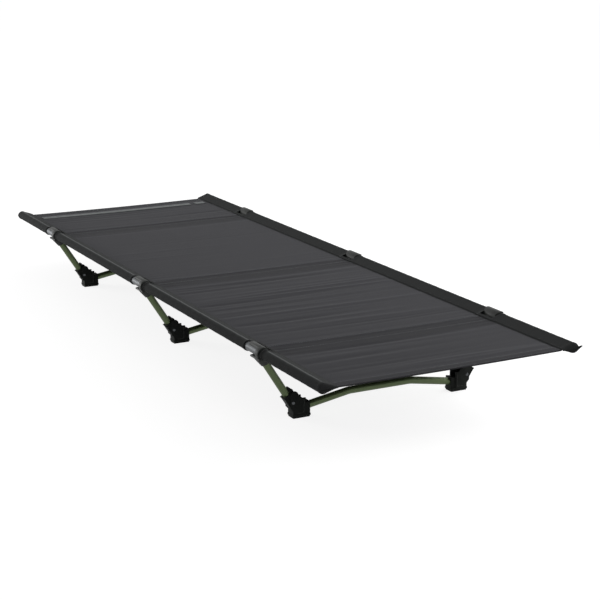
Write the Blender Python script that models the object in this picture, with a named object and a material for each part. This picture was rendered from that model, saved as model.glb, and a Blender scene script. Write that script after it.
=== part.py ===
"""Low camping cot: a taut cloth deck between two side poles, carried on three lever-legged bows.

Metres, +Z up, +X towards the foot end, -Y the near side. The origin lies on the ground under the
middle of the cot. Every small part of a side is modelled with -Y as its outboard direction, and the
far side is turned half a turn about Z.
"""

from math import atan2, cos, hypot, pi, radians, sin, sqrt

import bmesh
import bpy
from mathutils import Matrix, Vector

# Whole cot
POLE_SPAN = 0.620  # between the two side pole axes
POLE_HEIGHT = 0.1655  # ground to side pole axis
POLE_LENGTH = 1.893  # tube end to tube end
LEG_PITCH = 0.655  # from one leg set to the next
PIN_SPAN = 0.456  # between the near and far hinge pins of a leg set
PIN_HEIGHT = 0.0370  # ground to hinge pin axis

# Fits
FIT_GAP = 0.0003  # between pieces that touch
SLIDE_GAP = 0.0004  # each side of a lever in its foot slot

# Side pole
POLE_RADIUS = 0.010
POLE_WALL = 0.0012
POLE_SECTIONS = 3
SPIGOT_LENGTH = 0.045
SPIGOT_WALL = 0.0010
CAP_LIP = 0.0035  # length of the cap outside the tube
CAP_CROWN = 0.0012  # chamfer round the cap's face
CAP_PLUG = 0.014
CORD_RADIUS = 0.0015

# Leg tubes
STRUT_RADIUS = 0.0086
BOW_RADIUS = 0.0086
LEG_WALL = 0.0011
BOW_HEIGHT = 0.0415  # ground to the axis of the bow's level middle
BOW_LEVEL = 0.160  # length of that middle, between the centres of its two bends
BOW_SLOPE = radians(9.6)
BOW_BEND_RADIUS = 0.060

# Lever, in the strut's frame: Y towards the inboard side, Z along the strut from the pin
LEVER_THICK = 0.0200
LEVER_WALL = 0.0022
LEVER_RIM = 0.0215  # pin to the socket's mouth
LEVER_SOCKET_FLOOR = 0.0060  # pin to the bottom of the strut's bore
EYE_RADIUS = 0.0105
EYE_BREAK = radians(250)  # where the round of the eye leaves the heel
LEVER_FLARE = 0.0125  # pin line to the mouth's outboard corner
LEVER_FLARE_START = 0.0172  # pin to where the outboard face leans out to that corner
HEEL_OUT = 0.0110
HEEL_DOWN = 0.0112
TAB_TOP = 0.0330
TAB_OUT = 0.0142
TAB_WIDTH = 0.012

# Hinge pin
PIN_RADIUS = 0.0025
PIN_HEAD_RADIUS = 0.0040
PIN_HEAD_FACE = 0.0032  # radius of the head's flat face
PIN_HEAD_THICK = 0.0010

# Foot block, in a frame with its origin on the pin axis and -Y outboard
CHEEK_THICK = 0.0026
FOOT_INNER = 0.0310  # pin to the cheeks' inboard face
FOOT_OUTER = 0.0000  # pin to the base's outboard edge
CHEEK_EDGE = 0.0065
CHEEK_SHOULDER = 0.0083  # top of the cheeks at their inboard end, above the pin
SHOULDER_LENGTH = 0.0075
SHOULDER_RISE = 0.0005
BOSS_RADIUS = 0.0098
BOSS_HEIGHT = 0.0165  # pin to the centre of the rounded top
BOSS_SHIFT = 0.0030
NECK_OUT = 0.0148  # pin to the step beside the boss
NECK_HEIGHT = 0.0157
EDGE_TOP = 0.0100  # the outboard edge runs straight between these two heights
EDGE_LOW = -0.0125
EDGE_FOOT = -0.0200  # then slopes in, down to here
COLLAR_DEPTH = 0.0120
COLLAR_HALF = 0.0112
SOCKET_DEPTH = 0.0190  # how far the bow's end goes in, collar and all
SOCKET_ROOF = 0.0022
FOOT_FLOOR = 0.0085  # thickness of the block under the slot
FLANGE_OUT = 0.0008
FLANGE_HEIGHT = 0.0050
STOP_WEB_LENGTH = 0.0090
PAD_THICK = 0.0030
PAD_INSET = 0.0008
PAD_ROUND = 0.0020

# Pole clip, in a frame with its origin on the pole axis and -Y outboard
CLIP_WALL = 0.0048
CLIP_START = -0.024  # along the pole, from the strut's plane
CLIP_LIP_START = -0.013
CLIP_FINGER_START = 0.018
CLIP_END = 0.031
CLIP_FINGER_LOW = radians(-30)  # from the outboard side, upwards positive
CLIP_BACK_TOP = radians(50)
CLIP_BACK_LOW = radians(203)
CLIP_LIP_REACH = 0.0110
CLIP_LIP_DROP = 0.0004
CLIP_LIP_ROUND = 0.0012
CLIP_CORNER = 0.0040  # pole axis inboard to where the clip's ends start to narrow
CLIP_CORNER_LEAN = radians(26)  # of those narrowed ends, off straight across
CLIP_SOCKET_WALL = 0.0022
CLIP_GUSSET = 0.0150  # radius of the socket where it meets the ring
CLIP_GUSSET_START = 0.0125
CLIP_SOCKET_END = 0.0363  # pole axis to the socket's mouth
STRUT_SEAT = 0.0165  # pole axis to the strut's upper end

# Cloth
SLEEVE_WALL = 0.0011
SLEEVE_GAP = 0.0004
SLEEVE_WIDTH = 0.0318  # pole axis to the sewn edge
SLEEVE_EDGE = 0.0016
SLEEVE_END_WALL = 0.0012
WINDOWS = {"near": (0.040, 0.034), "far": (0.036, 0.028)}  # headward and footward of a leg set
WINDOW_DEPTH = 0.0225  # pole axis to the window's inboard edge
DECK_START = -0.946
DECK_END = 0.950
DECK_THICK = 0.0014
DECK_DROP = 0.0010  # pole axis down to the deck's top
HEM_WIDTH = 0.018
HEM_THICK = 0.0026
WEBBING_WIDTH = 0.025
WEBBING_THICK = 0.0012
WEBBING_PLACE = -0.880
WEBBING_LONG = (-0.268, 0.216)
WEBBING_SHORT = (0.233, 0.265)

ROUND_SIDES = 16
SMALL_SIDES = 12
ARC_STEP = radians(15)
BEND_STEPS = 3
SHARP_ANGLE = radians(35)  # edges that bend more than this stay sharp in the shading

POLE_HALF_SPAN = POLE_SPAN / 2
PIN_HALF_SPAN = PIN_SPAN / 2
STRUT_REACH = POLE_HALF_SPAN - PIN_HALF_SPAN
STRUT_RISE = POLE_HEIGHT - PIN_HEIGHT
STRUT_LEAN = atan2(STRUT_REACH, STRUT_RISE)  # off the vertical, outboard
PIN_TO_POLE = hypot(STRUT_REACH, STRUT_RISE)
LEGS = {"head": -LEG_PITCH, "mid": 0.0, "tail": LEG_PITCH}
SLOT_HALF = LEVER_THICK / 2 + SLIDE_GAP
FOOT_HALF = SLOT_HALF + CHEEK_THICK
CLIP_BORE = POLE_RADIUS + FIT_GAP
SLEEVE_BORE = POLE_RADIUS + SLEEVE_GAP


def material(name, colour, roughness, metallic=0.0):
    """A Principled material; the colour is linear RGB."""
    made = bpy.data.materials.new(name)
    made.use_nodes = True
    shader = made.node_tree.nodes["Principled BSDF"]
    shader.inputs["Base Color"].default_value = (*colour, 1.0)
    shader.inputs["Roughness"].default_value = roughness
    shader.inputs["Metallic"].default_value = metallic
    made.diffuse_color = (*colour, 1.0)
    return made


def clear_scene():
    """Take away whatever the file holds."""
    for found in list(bpy.data.objects):
        bpy.data.objects.remove(found, do_unlink=True)


def finished(name, bm, look, parent=None, place=(0, 0, 0), turn=(0, 0, 0)):
    """The mesh as a placed object with its material, its round faces shaded smooth."""
    bmesh.ops.remove_doubles(bm, verts=bm.verts, dist=1e-6)
    bmesh.ops.recalc_face_normals(bm, faces=bm.faces)
    mesh = bpy.data.meshes.new(name)
    bm.to_mesh(mesh)
    bm.free()
    mesh.shade_smooth()
    mesh.set_sharp_from_angle(angle=SHARP_ANGLE)
    if look is not None:
        mesh.materials.append(look)
    made = bpy.data.objects.new(name, mesh)
    bpy.context.collection.objects.link(made)
    made.parent = parent
    made.location = place
    made.rotation_euler = turn
    return made


def prism(outline, start, end):
    """An outline in the YZ plane made into a plate between two places along X."""
    bm = bmesh.new()
    corners = [bm.verts.new((start, y, z)) for y, z in outline]
    face = bm.faces.new(corners)
    grown = bmesh.ops.extrude_face_region(bm, geom=[face])
    moved = [item for item in grown["geom"] if isinstance(item, bmesh.types.BMVert)]
    bmesh.ops.translate(bm, verts=moved, vec=(end - start, 0, 0))
    return bm


def turned(profile, sides, closed):
    """A profile of (x, radius) points spun about the X axis; a closed one is a ring's section."""
    bm = bmesh.new()
    verts = [bm.verts.new((x, 0, radius)) for x, radius in profile]
    ends = verts[1:] + verts[:1] if closed else verts[1:]
    edges = [bm.edges.new(pair) for pair in zip(verts, ends)]
    bmesh.ops.spin(
        bm,
        geom=verts + edges,
        cent=(0, 0, 0),
        axis=(1, 0, 0),
        angle=2 * pi,
        steps=sides,
        use_merge=True,
    )
    return bm


def cylinder(radius, start, end, direction, sides=ROUND_SIDES, end_radius=None):
    """A round bar along a direction, from start to end along it, tapered to any end radius given."""
    bm = bmesh.new()
    turn = Vector((0, 0, 1)).rotation_difference(Vector(direction)).to_matrix().to_4x4()
    middle = Vector(direction).normalized() * (start + end) / 2
    bmesh.ops.create_cone(
        bm,
        cap_ends=True,
        segments=sides,
        radius1=radius,
        radius2=end_radius or radius,
        depth=end - start,
        matrix=Matrix.Translation(middle) @ turn,
    )
    return bm


def box(low, high):
    """A box between two corners."""
    bm = bmesh.new()
    size = [b - a for a, b in zip(low, high)]
    middle = [(a + b) / 2 for a, b in zip(low, high)]
    matrix = Matrix.Translation(middle) @ Matrix.Diagonal((*size, 1))
    bmesh.ops.create_cube(bm, size=1, matrix=matrix)
    return bm


def arc(centre, radius, start, end):
    """Points on a circle of the YZ plane, from one angle to another, both ends included."""
    count = max(2, round(abs(end - start) / ARC_STEP))
    angles = [start + (end - start) * step / count for step in range(count + 1)]
    return [(centre[0] + radius * cos(a), centre[1] + radius * sin(a)) for a in angles]


def outboard_arc(radius, start, end):
    """Points round the pole axis, angles counted from the outboard side upwards."""
    return [(-y, z) for y, z in arc((0, 0), radius, start, end)]


def combine(target, bm, operation):
    """Join a shape to the target or cut it away, with the tool kept as a hidden guide."""
    tool = finished(f"{target.name}_tool", bm, None, target)
    tool.hide_render = True
    tool.display_type = "WIRE"
    step = target.modifiers.new(operation.title(), "BOOLEAN")
    step.operation = operation
    step.object = tool
    step.solver = "EXACT"


def tube_along(path, radius, wall):
    """A hollow tube swept along a path in the YZ plane, open at both ends."""
    bm = bmesh.new()
    rings = []
    for index, (y, z) in enumerate(path):
        before = Vector(path[max(index - 1, 0)])
        after = Vector(path[min(index + 1, len(path) - 1)])
        heading = (after - before).normalized()
        normal = Vector((0, -heading.y, heading.x))
        for size in (radius, radius - wall):
            ring = []
            for side in range(ROUND_SIDES):
                angle = 2 * pi * side / ROUND_SIDES
                offset = Vector((size * cos(angle), 0, 0)) + normal * size * sin(angle)
                ring.append(bm.verts.new(Vector((0, y, z)) + offset))
            rings.append(ring)
    outer, inner = rings[0::2], rings[1::2]
    joined = list(zip(outer, outer[1:])) + list(zip(inner, inner[1:]))
    joined += [(outer[0], inner[0]), (outer[-1], inner[-1])]
    for first, second in joined:
        for side in range(ROUND_SIDES):
            after = (side + 1) % ROUND_SIDES
            bm.faces.new((first[side], first[after], second[after], second[side]))
    return bm


def heel_drop():
    """How far below the pin the locked lever's heel lies."""
    return HEEL_OUT * sin(STRUT_LEAN) + HEEL_DOWN * cos(STRUT_LEAN)


def bow_path():
    """The bow's axis: level in the middle, bent down to each foot's socket."""
    end = PIN_HALF_SPAN - FOOT_INNER - COLLAR_DEPTH + SOCKET_DEPTH
    trim = BOW_BEND_RADIUS * sin(BOW_SLOPE) / (1 + cos(BOW_SLOPE))
    bend_start = BOW_LEVEL / 2 - trim
    half = []
    for step in range(BEND_STEPS + 1):
        angle = BOW_SLOPE * step / BEND_STEPS
        y = bend_start + BOW_BEND_RADIUS * sin(angle)
        half.append((y, BOW_HEIGHT - BOW_BEND_RADIUS * (1 - cos(angle))))
    half.append((end, bow_height_at(end)))
    return [(-y, z) for y, z in reversed(half)] + half


def bow_height_at(y):
    """Height of the bow's axis on its sloping part."""
    return BOW_HEIGHT - (y - BOW_LEVEL / 2) * sin(BOW_SLOPE) / cos(BOW_SLOPE)


def pole_section(name, index, look, parent):
    """One tube of a side pole, with a swaged spigot that enters the next one."""
    length = POLE_LENGTH / POLE_SECTIONS
    start = -POLE_LENGTH / 2 + index * length
    end = start + length
    bore = POLE_RADIUS - POLE_WALL
    if index == POLE_SECTIONS - 1:
        profile = [(start, bore), (start, POLE_RADIUS), (end, POLE_RADIUS), (end, bore)]
    else:
        spigot = bore - FIT_GAP
        shoulder = end - FIT_GAP
        tip = end + SPIGOT_LENGTH
        profile = [
            (start, bore),
            (start, POLE_RADIUS),
            (shoulder, POLE_RADIUS),
            (shoulder, spigot),
            (tip, spigot),
            (tip, spigot - SPIGOT_WALL),
            (shoulder - POLE_WALL, spigot - SPIGOT_WALL),
            (shoulder - POLE_WALL, bore),
        ]
    place = (0, -STRUT_REACH, STRUT_RISE)
    return finished(name, turned(profile, ROUND_SIDES, True), look, parent, place)


def pole_cap(name, direction, look, parent):
    """A moulded plug that closes a pole's end; direction is -1 or 1 along X."""
    plug = POLE_RADIUS - POLE_WALL - FIT_GAP
    face = POLE_LENGTH / 2 + FIT_GAP
    profile = [
        (face - CAP_PLUG, 0),
        (face - CAP_PLUG, plug),
        (face, plug),
        (face, POLE_RADIUS),
        (face + CAP_LIP - CAP_CROWN, POLE_RADIUS),
        (face + CAP_LIP, POLE_RADIUS - CAP_CROWN),
        (face + CAP_LIP, 0),
    ]
    profile = [(direction * x, radius) for x, radius in profile]
    place = (0, -STRUT_REACH, STRUT_RISE)
    return finished(name, turned(profile, ROUND_SIDES, False), look, parent, place)


def shock_cord(name, look, parent):
    """The elastic cord that runs through the pole's three tubes, from cap to cap."""
    half = POLE_LENGTH / 2 - CAP_PLUG
    bm = cylinder(CORD_RADIUS, -half, half, (1, 0, 0), SMALL_SIDES)
    return finished(name, bm, look, parent, (0, -STRUT_REACH, STRUT_RISE))


def strut(name, x, look, parent):
    """The straight tube from a lever's socket up into its pole clip."""
    start = LEVER_SOCKET_FLOOR + FIT_GAP
    end = PIN_TO_POLE - STRUT_SEAT
    bore = STRUT_RADIUS - LEG_WALL
    profile = [(start, bore), (start, STRUT_RADIUS), (end, STRUT_RADIUS), (end, bore)]
    bm = turned(profile, ROUND_SIDES, True)
    bmesh.ops.rotate(bm, verts=bm.verts, matrix=Matrix.Rotation(-pi / 2, 3, "Y"))
    return finished(name, bm, look, parent, (x, 0, 0), (STRUT_LEAN, 0, 0))


def lever(name, x, look, parent):
    """The strut's lower socket with its hinge eye, stop heel and finger tab."""
    front = STRUT_RADIUS + FIT_GAP + LEVER_WALL
    outline = [
        (front, LEVER_RIM),
        (-LEVER_FLARE, LEVER_RIM),
        (-front, LEVER_FLARE_START),
        (-front, 0),
        (-HEEL_OUT, -HEEL_DOWN),
    ]
    outline += arc((0, 0), EYE_RADIUS, EYE_BREAK, 2 * pi)
    plate = prism(outline, -LEVER_THICK / 2, LEVER_THICK / 2)
    made = finished(name, plate, look, parent, (x, 0, 0), (STRUT_LEAN, 0, 0))
    tab_inner = STRUT_RADIUS + FIT_GAP
    tab_round = (TAB_OUT - tab_inner) / 2
    tab = [
        (tab_inner, LEVER_SOCKET_FLOOR),
        (front, LEVER_SOCKET_FLOOR),
        (TAB_OUT, LEVER_RIM - LEVER_WALL),
    ]
    tab += arc(((tab_inner + TAB_OUT) / 2, TAB_TOP - tab_round), tab_round, 0, pi)
    combine(made, prism(tab, -TAB_WIDTH / 2, TAB_WIDTH / 2), "UNION")
    bore = STRUT_RADIUS + FIT_GAP
    combine(made, cylinder(bore, LEVER_SOCKET_FLOOR, TAB_TOP * 2, (0, 0, 1)), "DIFFERENCE")
    eye = PIN_RADIUS + FIT_GAP
    combine(made, cylinder(eye, -LEVER_THICK, LEVER_THICK, (1, 0, 0), SMALL_SIDES), "DIFFERENCE")
    return made


def hinge_pin(name, place, look):
    """The steel rivet through a foot's cheeks and its lever's eye."""
    half = FOOT_HALF + FIT_GAP
    profile = [
        (-half - PIN_HEAD_THICK, 0),
        (-half - PIN_HEAD_THICK, PIN_HEAD_FACE),
        (-half, PIN_HEAD_RADIUS),
        (-half, PIN_RADIUS),
        (half, PIN_RADIUS),
        (half, PIN_HEAD_RADIUS),
        (half + PIN_HEAD_THICK, PIN_HEAD_FACE),
        (half + PIN_HEAD_THICK, 0),
    ]
    return finished(name, turned(profile, SMALL_SIDES, False), look, None, place)


def foot_block(name, place, turn, look):
    """Two cheeks over a base, with the bow's socket inboard and the lever's slot outboard."""
    bottom = -PIN_HEIGHT + PAD_THICK + FIT_GAP
    foot_edge = FOOT_INNER + COLLAR_DEPTH
    outline = [
        (-FOOT_OUTER, bottom),
        (FOOT_INNER, bottom),
        (FOOT_INNER, CHEEK_SHOULDER),
        (FOOT_INNER - SHOULDER_LENGTH, CHEEK_SHOULDER + SHOULDER_RISE),
        (NECK_OUT, NECK_HEIGHT),
    ]
    outline += arc((BOSS_SHIFT, BOSS_HEIGHT), BOSS_RADIUS, 0, pi)
    outline += [(-CHEEK_EDGE, EDGE_TOP), (-CHEEK_EDGE, EDGE_LOW), (-FOOT_OUTER, EDGE_FOOT)]
    made = finished(name, prism(outline, -FOOT_HALF, FOOT_HALF), look, None, place, turn)
    flange = box(
        (-FOOT_HALF - FLANGE_OUT, -FOOT_OUTER - FLANGE_OUT, bottom),
        (FOOT_HALF + FLANGE_OUT, foot_edge, bottom + FLANGE_HEIGHT),
    )
    combine(made, flange, "UNION")
    stop_top = -heel_drop() - FIT_GAP
    floor = bottom + FOOT_FLOOR
    far = 2 * foot_edge
    slot = [
        (-far, stop_top),
        (STOP_WEB_LENGTH, stop_top),
        (STOP_WEB_LENGTH, floor),
        (far, floor),
        (far, far),
        (-far, far),
    ]
    combine(made, prism(slot, -SLOT_HALF, SLOT_HALF), "DIFFERENCE")

    axis_height = bow_height_at(PIN_HALF_SPAN - foot_edge) - PIN_HEIGHT
    slope = sin(BOW_SLOPE) / cos(BOW_SLOPE)
    bow_end = foot_edge - SOCKET_DEPTH
    wall = bow_end - SOCKET_ROOF
    roof = axis_height + BOW_RADIUS + FIT_GAP + SOCKET_ROOF
    core = [
        (wall, bottom + FLANGE_HEIGHT / 2),
        (foot_edge, bottom + FLANGE_HEIGHT / 2),
        (foot_edge, roof),
        (wall, roof - (foot_edge - wall) * slope),
    ]
    combine(made, prism(core, -COLLAR_HALF, COLLAR_HALF), "UNION")
    along = Vector((0, cos(BOW_SLOPE), sin(BOW_SLOPE)))
    bore = cylinder(BOW_RADIUS + FIT_GAP, -FIT_GAP, 2 * SOCKET_DEPTH, along)
    end_height = axis_height - SOCKET_DEPTH * slope
    bmesh.ops.translate(bore, verts=bore.verts, vec=(0, bow_end, end_height))
    combine(made, bore, "DIFFERENCE")
    eye = cylinder(PIN_RADIUS + FIT_GAP, -far, far, (1, 0, 0), SMALL_SIDES)
    combine(made, eye, "DIFFERENCE")
    return made


def foot_pad(name, place, turn, look):
    """The rubber sole under a foot block."""
    bm = box(
        (-FOOT_HALF - FLANGE_OUT + PAD_INSET, -FOOT_OUTER - FLANGE_OUT + PAD_INSET, -PIN_HEIGHT),
        (
            FOOT_HALF + FLANGE_OUT - PAD_INSET,
            FOOT_INNER + COLLAR_DEPTH - PAD_INSET,
            -PIN_HEIGHT + PAD_THICK,
        ),
    )
    upright = [e for e in bm.edges if abs((e.verts[0].co - e.verts[1].co).z) > PAD_THICK / 2]
    bmesh.ops.bevel(bm, geom=upright, offset=PAD_ROUND, segments=2, affect="EDGES", profile=0.5)
    return finished(name, bm, look, None, place, turn)


def pole_clip(name, x, look, parent):
    """The moulded clip that holds the pole and takes the strut's upper end."""
    outside = CLIP_BORE + CLIP_WALL
    top = -CLIP_BORE - CLIP_LIP_DROP
    round_start = -CLIP_LIP_REACH + CLIP_LIP_ROUND
    section = outboard_arc(CLIP_BORE, CLIP_FINGER_LOW, radians(270))
    section += [
        (round_start, top),
        (-CLIP_LIP_REACH, (top - outside) / 2),
        (round_start, -outside),
    ]
    section += reversed(outboard_arc(outside, CLIP_FINGER_LOW, radians(270)))
    place = (x, -STRUT_REACH, STRUT_RISE)
    made = finished(name, prism(section, CLIP_START, CLIP_END), look, parent, place)
    far = 2 * CLIP_END
    open_side = box(
        (-far, -far, -CLIP_BORE),
        (CLIP_FINGER_START, -CLIP_BORE * cos(CLIP_BACK_TOP), far),
    )
    combine(made, open_side, "DIFFERENCE")
    open_bottom = box((-far, -far, -far), (CLIP_LIP_START, far, CLIP_BORE * sin(CLIP_BACK_LOW)))
    combine(made, open_bottom, "DIFFERENCE")
    for end, way in ((CLIP_START, -1), (CLIP_END, 1)):
        corner = box((min(way * far, 0), 0, -far), (max(way * far, 0), 2 * far, far))
        lean = Matrix.Rotation(way * CLIP_CORNER_LEAN, 3, "Z")
        bmesh.ops.rotate(corner, verts=corner.verts, matrix=lean)
        bmesh.ops.translate(corner, verts=corner.verts, vec=(end, CLIP_CORNER, 0))
        combine(made, corner, "DIFFERENCE")
    down = (0, sin(STRUT_LEAN), -cos(STRUT_LEAN))
    bore = STRUT_RADIUS + FIT_GAP
    mouth = bore + CLIP_SOCKET_WALL
    socket = cylinder(CLIP_GUSSET, CLIP_GUSSET_START, CLIP_SOCKET_END, down, end_radius=mouth)
    combine(made, socket, "UNION")
    start = STRUT_SEAT - FIT_GAP
    combine(made, cylinder(bore, start, 2 * CLIP_SOCKET_END, down), "DIFFERENCE")
    return made


def sleeve(name, side, window_ends, look, parent):
    """The cloth tube round a side pole, closed at its ends and cut away at each leg."""
    radius = SLEEVE_BORE + SLEEVE_WALL
    tangent = radians(90) - atan2(radius, sqrt(SLEEVE_WIDTH**2 - radius**2))
    outline = arc((0, 0), radius, tangent, 2 * pi - tangent)
    outline += [(SLEEVE_WIDTH, -SLEEVE_EDGE / 2), (SLEEVE_WIDTH, SLEEVE_EDGE / 2)]
    inner = POLE_LENGTH / 2 + CAP_LIP + 2 * FIT_GAP
    half = inner + SLEEVE_END_WALL
    place = (0, -STRUT_REACH, STRUT_RISE)
    made = finished(name, prism(outline, -half, half), look, parent, place)
    combine(made, cylinder(SLEEVE_BORE, -inner, inner, (1, 0, 0)), "DIFFERENCE")
    headward, footward = window_ends
    reach = 2 * SLEEVE_WIDTH
    for x in LEGS.values():
        ends = sorted((side * (x - headward), side * (x + footward)))
        window = box((ends[0], -reach, -reach), (ends[1], WINDOW_DEPTH, reach))
        combine(made, window, "DIFFERENCE")
    return made


def deck_panel(name, look):
    """The cloth the sleeper lies on, with a folded hem at each end."""
    half = POLE_HALF_SPAN - SLEEVE_WIDTH - FIT_GAP
    top = POLE_HEIGHT - DECK_DROP
    bm = box((DECK_START, -half, top - DECK_THICK), (DECK_END, half, top))
    made = finished(name, bm, look)
    for start in (DECK_START, DECK_END - HEM_WIDTH):
        hem = box(
            (start, -half, top - HEM_THICK),
            (start + HEM_WIDTH, half, top - DECK_THICK / 2),
        )
        combine(made, hem, "UNION")
    return made


def webbing(name, ends, look):
    """A flat strap sewn across the head end of the deck."""
    low = POLE_HEIGHT - DECK_DROP + FIT_GAP
    bm = box(
        (WEBBING_PLACE - WEBBING_WIDTH / 2, ends[0], low),
        (WEBBING_PLACE + WEBBING_WIDTH / 2, ends[1], low + WEBBING_THICK),
    )
    return finished(name, bm, look)


def build():
    """Make the whole cot."""
    clear_scene()
    silver = material("anodised_pole", (0.42, 0.42, 0.43), 0.35, 0.9)
    green = material("olive_leg_tube", (0.056, 0.077, 0.035), 0.5, 0.2)
    black = material("black_moulding", (0.008, 0.008, 0.008), 0.55)
    rubber = material("black_rubber", (0.006, 0.006, 0.006), 0.85)
    steel = material("bright_steel", (0.55, 0.55, 0.55), 0.25, 1.0)
    cloth = material("charcoal_deck_cloth", (0.051, 0.053, 0.057), 0.8)
    edge_cloth = material("charcoal_sleeve_cloth", (0.027, 0.028, 0.029), 0.85)
    strap = material("grey_webbing", (0.20, 0.21, 0.21), 0.8)
    elastic = material("white_elastic", (0.6, 0.6, 0.58), 0.9)

    deck_panel("deck_panel", cloth)
    webbing("head_webbing_long", WEBBING_LONG, strap)
    webbing("head_webbing_short", WEBBING_SHORT, strap)
    for leg, x in LEGS.items():
        bow = tube_along(bow_path(), BOW_RADIUS, LEG_WALL)
        finished(f"bow_{leg}", bow, green, None, (x, 0, 0))

    for side_name, side in (("near", 1), ("far", -1)):
        turn = (0, 0, 0 if side == 1 else pi)
        pin_line = (0, -side * PIN_HALF_SPAN, PIN_HEIGHT)
        axis = bpy.data.objects.new(f"{side_name}_side_axis", None)
        bpy.context.collection.objects.link(axis)
        axis.location = pin_line
        axis.rotation_euler = turn
        for index in range(POLE_SECTIONS):
            pole_section(f"pole_{side_name}_{index + 1}", index, silver, axis)
        for end, direction in (("head", -side), ("tail", side)):
            pole_cap(f"pole_cap_{end}_{side_name}", direction, black, axis)
        shock_cord(f"pole_cord_{side_name}", elastic, axis)
        sleeve(f"sleeve_{side_name}", side, WINDOWS[side_name], edge_cloth, axis)
        for leg, x in LEGS.items():
            place = (x, *pin_line[1:])
            foot_block(f"foot_block_{leg}_{side_name}", place, turn, black)
            foot_pad(f"foot_pad_{leg}_{side_name}", place, turn, rubber)
            hinge_pin(f"hinge_pin_{leg}_{side_name}", place, steel)
            strut(f"strut_{leg}_{side_name}", side * x, green, axis)
            lever(f"lever_{leg}_{side_name}", side * x, black, axis)
            pole_clip(f"pole_clip_{leg}_{side_name}", side * x, black, axis)


build()
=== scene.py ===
"""Looks of the low camping cot: cloth deck and sleeves, drawn tubes, moulded fittings and the studio.

Metres throughout. +X runs towards the foot end, -Y is the near side and +Z is up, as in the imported
model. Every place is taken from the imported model's own boxes, so the pieces here sit on its parts.
"""

from __future__ import annotations

import logging
from collections.abc import Iterable, Mapping, Sequence
from dataclasses import dataclass
from enum import Enum
from math import acos, cos, pi, radians, sin, sqrt

import bmesh
import bpy
import numpy as np
from mathutils import Matrix, Vector

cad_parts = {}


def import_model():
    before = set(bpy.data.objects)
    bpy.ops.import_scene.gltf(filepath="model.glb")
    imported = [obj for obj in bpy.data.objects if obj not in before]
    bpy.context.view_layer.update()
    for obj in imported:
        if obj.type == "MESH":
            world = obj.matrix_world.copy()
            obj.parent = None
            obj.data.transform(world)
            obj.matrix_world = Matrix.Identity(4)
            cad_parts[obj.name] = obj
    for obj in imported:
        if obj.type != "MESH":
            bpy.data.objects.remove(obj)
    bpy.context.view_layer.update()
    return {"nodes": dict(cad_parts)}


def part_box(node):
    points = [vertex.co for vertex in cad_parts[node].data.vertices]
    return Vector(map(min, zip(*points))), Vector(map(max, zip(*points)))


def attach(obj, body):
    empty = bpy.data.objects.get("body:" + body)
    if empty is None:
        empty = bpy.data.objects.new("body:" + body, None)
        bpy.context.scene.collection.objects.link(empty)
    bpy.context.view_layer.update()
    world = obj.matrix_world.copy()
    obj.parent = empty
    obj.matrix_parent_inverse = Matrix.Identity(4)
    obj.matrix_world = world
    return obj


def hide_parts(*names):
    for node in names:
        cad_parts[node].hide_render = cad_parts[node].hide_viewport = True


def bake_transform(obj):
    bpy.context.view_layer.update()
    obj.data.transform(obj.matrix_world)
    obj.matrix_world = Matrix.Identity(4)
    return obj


LOG = logging.getLogger("cot")

Colour = tuple[float, float, float, float]
Point = tuple[float, float, float]
Line = Sequence[Point]
Sheet = tuple[np.ndarray, np.ndarray, np.ndarray, np.ndarray]
Node = bpy.types.Node
Object = bpy.types.Object
Material = bpy.types.Material
Tree = bpy.types.NodeTree
Patterns = Sequence[Node | None]
Value = float | int | bool | str | tuple | Node | bpy.types.NodeSocket | bpy.types.ID

# Two places this close are the same place.
SAME = 1e-4
# An edge that turns further than this stays sharp.
SHARP = radians(38)
# The same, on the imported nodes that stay.
KEPT_SHARP = radians(35)


class Side(Enum):
    """The two long sides of the cot."""

    NEAR = "near"
    FAR = "far"

    @property
    def sign(self) -> float:
        """Sign of Y on this side."""
        return -1.0 if self is Side.NEAR else 1.0

    @property
    def body(self) -> str:
        """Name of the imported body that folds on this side."""
        return f"{self.value}_side"


class Leg(Enum):
    """The three leg sets, from the head to the foot end."""

    HEAD = "head"
    MID = "mid"
    TAIL = "tail"


def linear(hex_colour: str) -> Colour:
    """Turn an sRGB hex colour into the linear colour that a shader takes.

    Args:
        hex_colour: six hex digits with a leading #.

    Returns:
        Linear red, green and blue, and an alpha of 1.
    """
    parts = [int(hex_colour[i : i + 2], 16) / 255 for i in (1, 3, 5)]
    flat = [p / 12.92 if p <= 0.04045 else ((p + 0.055) / 1.055) ** 2.4 for p in parts]
    return (flat[0], flat[1], flat[2], 1.0)


def add_node(
    tree: Tree,
    kind: str,
    inputs: Mapping[str | int, Value] | None = None,
    **settings: Value,
) -> Node:
    """Add a node, set its options, and set or link its inputs.

    Args:
        tree: the tree that gets the node.
        kind: Blender's name for the node type.
        inputs: by name or number, a value, an output, or a node whose first output is meant.
        **settings: the node's own options.

    Returns:
        The new node.
    """
    node = tree.nodes.new(kind)
    for name, value in settings.items():
        setattr(node, name, value)
    for key, value in (inputs or {}).items():
        if isinstance(value, Node):
            value = value.outputs[0]
        if isinstance(value, bpy.types.NodeSocket):
            tree.links.new(value, node.inputs[key])
        else:
            node.inputs[key].default_value = value
    return node


def bell(offset: np.ndarray, width: float) -> np.ndarray:
    """A smooth hump, 1 where the offset is 0."""
    return np.exp(-((offset / width) ** 2))


def ramp(offset: np.ndarray, width: float) -> np.ndarray:
    """A smooth step from 0 to 1 as the offset passes 0."""
    return (1 + np.tanh(offset / (2 * width))) / 2


# Finishes


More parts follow.
